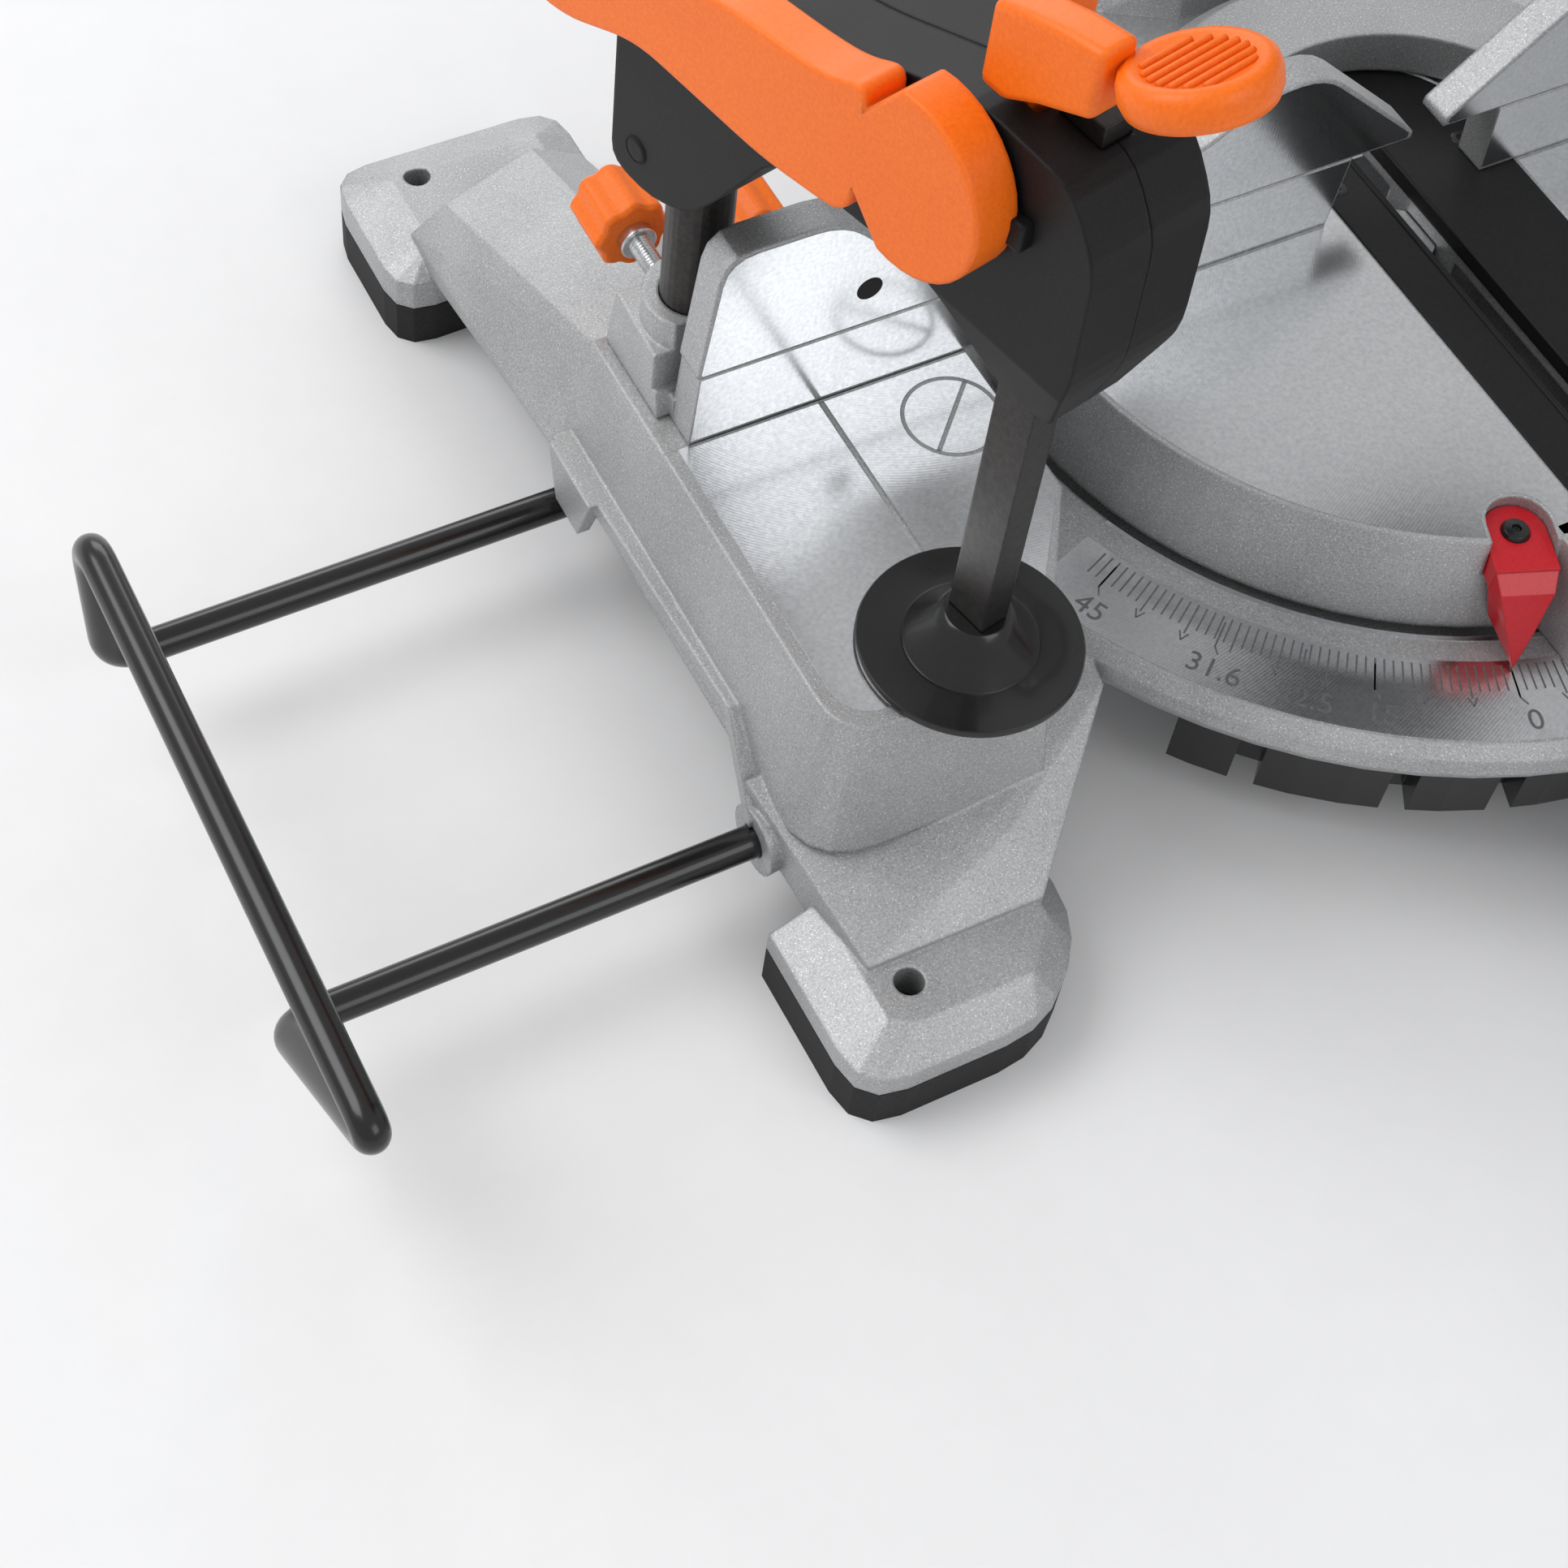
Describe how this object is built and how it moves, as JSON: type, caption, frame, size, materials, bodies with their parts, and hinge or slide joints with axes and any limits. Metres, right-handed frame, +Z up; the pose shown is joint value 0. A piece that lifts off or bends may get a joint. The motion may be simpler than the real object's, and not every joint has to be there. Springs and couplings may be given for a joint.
{
  "type": "mitre saw",
  "caption": "Bench-top sliding compound mitre saw with a turning table, split fence, post clamp, wire side extensions and a raised saw head.",
  "frame": {"origin": "centre of the bounding box on the plane the rubber feet stand on; the mitre axis is 109.5 mm in front of it", "axes": "+X to the right along the fence, +Y to the back along the slide rails, +Z up"},
  "size_m": [0.828, 0.881, 0.701],
  "materials": {
    "cast_aluminium": "sand-textured casting with milled bright faces",
    "black_plastic": "satin moulded black",
    "orange_plastic": "semi-gloss moulded orange",
    "red_plastic": "gloss moulded red",
    "black_steel": "gloss black coating",
    "rubber": "dark grey moulded rubber",
    "zinc_steel": "bright plated",
    "blade_steel": "ground",
    "smoked_plastic": "smoked moulded",
    "copper": "copper windings in a steel stack"
  },
  "bodies": {
    "base": {"base_casting": "cast_aluminium", "foot_pad_front_left": "rubber", "foot_pad_front_right": "rubber", "foot_pad_rear_left": "rubber", "foot_pad_rear_right": "rubber", "detent_ring": "black_steel", "fence_casting": "cast_aluminium", "mitre_pivot_bolt": "zinc_steel"},
    "extension_left": {"extension_wire_left": "black_steel"},
    "extension_right": {"extension_wire_right": "black_steel"},
    "sliding_fence_left": {"upper_fence_left": "cast_aluminium"},
    "sliding_fence_right": {"upper_fence_right": "cast_aluminium"},
    "fence_knob_left": {"fence_lock_knob_left": "orange_plastic"},
    "fence_knob_right": {"fence_lock_knob_right": "orange_plastic"},
    "post_knob": {"post_lock_knob": "orange_plastic"},
    "post": {"clamp_post": "black_steel"},
    "clamp": {"clamp_housing_left": "black_plastic", "clamp_housing_right": "black_plastic", "clamp_lever_pin": "zinc_steel", "clamp_grip_plate": "zinc_steel"},
    "bar": {"clamp_bar": "black_steel"},
    "pad": {"clamp_pad": "black_steel"},
    "lever": {"clamp_lever": "orange_plastic"},
    "release": {"clamp_release_tab": "orange_plastic"},
    "mitre_table": {"turntable": "cast_aluminium", "kerf_insert": "black_plastic", "mitre_pointer": "red_plastic", "tilt_bolt": "zinc_steel"},
    "mitre_knob": {"mitre_lock_knob": "black_plastic"},
    "detent": {"detent_lever": "black_plastic"},
    "tilt": {"tilt_arm": "cast_aluminium"},
    "tilt_lock": {"tilt_lock_lever": "black_plastic"},
    "tilt_stop": {"tilt_stop_pin": "zinc_steel"},
    "slide_knob": {"slide_lock_knob": "black_plastic"},
    "carriage": {"rail_left": "zinc_steel", "rail_right": "zinc_steel", "rail_end_plate": "black_plastic", "head_bracket": "cast_aluminium", "chop_pivot_pin": "zinc_steel", "chop_spring": "zinc_steel"},
    "head_lock": {"head_lock_pin": "zinc_steel"},
    "head": {"upper_guard": "cast_aluminium", "gear_case": "cast_aluminium", "motor_barrel": "black_plastic", "motor_cap": "black_plastic", "handle_shell_left": "black_plastic", "handle_shell_right": "black_plastic", "dust_outlet": "black_plastic", "motor_field": "copper"},
    "guard": {"lower_guard": "smoked_plastic"},
    "saw_blade": {"blade": "blade_steel", "arbor_spindle": "zinc_steel", "arbor_gear": "zinc_steel", "blade_flange_inner": "zinc_steel", "blade_flange_outer": "zinc_steel", "blade_bolt": "zinc_steel"},
    "armature": {"armature_shaft": "zinc_steel", "armature_core": "copper"},
    "switch": {"trigger": "orange_plastic"},
    "lock_off": {"lock_off_button": "orange_plastic"}
  },
  "joints": [
    {"name": "extension_left_slide", "type": "slide", "parent": "base", "child": "extension_left", "axis": [1, 0, 0], "range_m": [0, 0.12]},
    {"name": "extension_right_slide", "type": "slide", "parent": "base", "child": "extension_right", "axis": [-1, 0, 0], "range_m": [0, 0.12]},
    {"name": "fence_left_slide", "type": "slide", "parent": "base", "child": "sliding_fence_left", "axis": [-1, 0, 0], "range_m": [0, 0.06]},
    {"name": "fence_right_slide", "type": "slide", "parent": "base", "child": "sliding_fence_right", "axis": [1, 0, 0], "range_m": [0, 0.06]},
    {"name": "fence_knob_left_turn", "type": "hinge", "parent": "base", "child": "fence_knob_left", "pos_m": [-0.203, -0.0595, 0.12], "axis": [0, 1, 0], "range_deg": [0, 360]},
    {"name": "fence_knob_right_turn", "type": "hinge", "parent": "base", "child": "fence_knob_right", "pos_m": [0.203, -0.0595, 0.12], "axis": [0, 1, 0], "range_deg": [0, 360]},
    {"name": "post_knob_turn", "type": "hinge", "parent": "base", "child": "post_knob", "pos_m": [-0.2335, -0.0495, 0.115], "axis": [0, 1, 0], "range_deg": [0, 360]},
    {"name": "post_slide", "type": "slide", "parent": "base", "child": "post", "axis": [0, 0, 1], "range_m": [0, 0.03]},
    {"name": "clamp_swing", "type": "hinge", "parent": "post", "child": "clamp", "pos_m": [-0.2335, -0.0795, 0.2], "axis": [0, 0, 1], "range_deg": [-40, 40]},
    {"name": "bar_slide", "type": "slide", "parent": "clamp", "child": "bar", "axis": [0, 0, 1], "range_m": [0, 0.06]},
    {"name": "pad_turn", "type": "hinge", "parent": "bar", "child": "pad", "pos_m": [-0.2075, -0.1985, 0.105], "axis": [0, 0, 1], "continuous": true},
    {"name": "lever_squeeze", "type": "hinge", "parent": "clamp", "child": "lever", "pos_m": [-0.23701, -0.18058, 0.267], "axis": [-0.977, -0.2135, 0], "range_deg": [0, 18], "stiffness_Nm_per_rad": 1, "springref_deg": -17.19},
    {"name": "release_press", "type": "hinge", "parent": "clamp", "child": "release", "pos_m": [-0.21087, -0.18306, 0.282], "axis": [0.977, 0.2135, 0], "range_deg": [0, 8], "stiffness_Nm_per_rad": 0.5, "springref_deg": -11.46},
    {"name": "mitre_turn", "type": "hinge", "parent": "base", "child": "mitre_table", "pos_m": [0, -0.1095, 0.08], "axis": [0, 0, 1], "range_deg": [-45, 45]},
    {"name": "mitre_knob_turn", "type": "hinge", "parent": "mitre_table", "child": "mitre_knob", "pos_m": [0, -0.4095, 0.056], "axis": [0, 1, 0], "range_deg": [0, 180]},
    {"name": "detent_press", "type": "hinge", "parent": "mitre_table", "child": "detent", "pos_m": [0, -0.3848, 0.0822], "axis": [1, 0, 0], "range_deg": [0, 8], "stiffness_Nm_per_rad": 0.5, "springref_deg": -11.46},
    {"name": "bevel_tilt", "type": "hinge", "parent": "mitre_table", "child": "tilt", "pos_m": [0, 0.0825, 0.096], "axis": [0, 1, 0], "range_deg": [-33.9, 0]},
    {"name": "bevel_lock_turn", "type": "hinge", "parent": "mitre_table", "child": "tilt_lock", "pos_m": [0, 0.1105, 0.096], "axis": [0, -1, 0], "range_deg": [0, 40]},
    {"name": "bevel_stop_pull", "type": "slide", "parent": "tilt", "child": "tilt_stop", "axis": [0, 1, 0], "range_m": [0, 0.012]},
    {"name": "slide_knob_turn", "type": "hinge", "parent": "tilt", "child": "slide_knob", "pos_m": [0.06, 0.1935, 0.262], "axis": [1, 0, 0], "range_deg": [0, 180]},
    {"name": "rail_slide", "type": "slide", "parent": "tilt", "child": "carriage", "axis": [0, -1, 0], "range_m": [0, 0.19]},
    {"name": "head_lock_push", "type": "slide", "parent": "carriage", "child": "head_lock", "axis": [1, 0, 0], "range_m": [0, 0.006]},
    {"name": "head_chop", "type": "hinge", "parent": "carriage", "child": "head", "pos_m": [0, 0.1255, 0.31], "axis": [1, 0, 0], "range_deg": [0, 52], "stiffness_Nm_per_rad": 12, "springref_deg": -126.05},
    {"name": "guard_swing", "type": "hinge", "parent": "head", "child": "guard", "pos_m": [0, -0.10512, 0.45088], "axis": [-1, 0, 0], "range_deg": [0, 108]},
    {"name": "blade_spin", "type": "hinge", "parent": "head", "child": "saw_blade", "pos_m": [0, -0.10512, 0.45088], "axis": [1, 0, 0], "continuous": true},
    {"name": "armature_spin", "type": "hinge", "parent": "head", "child": "armature", "pos_m": [0.1, -0.06774, 0.44201], "axis": [1, 0, 0], "continuous": true},
    {"name": "trigger_squeeze", "type": "slide", "parent": "head", "child": "switch", "axis": [0, 0.788, 0.6157], "range_m": [0, 0.006], "stiffness_N_per_m": 300, "springref_m": -0.004},
    {"name": "lock_off_press", "type": "slide", "parent": "head", "child": "lock_off", "axis": [1, 0, 0], "range_m": [0, 0.004], "stiffness_N_per_m": 300, "springref_m": -0.004}
  ],
  "couplings": [
    {"joint": "guard_swing", "follows": "head_chop", "ratio": 2.0769},
    {"joint": "armature_spin", "follows": "blade_spin", "ratio": -3.3333}
  ]
}
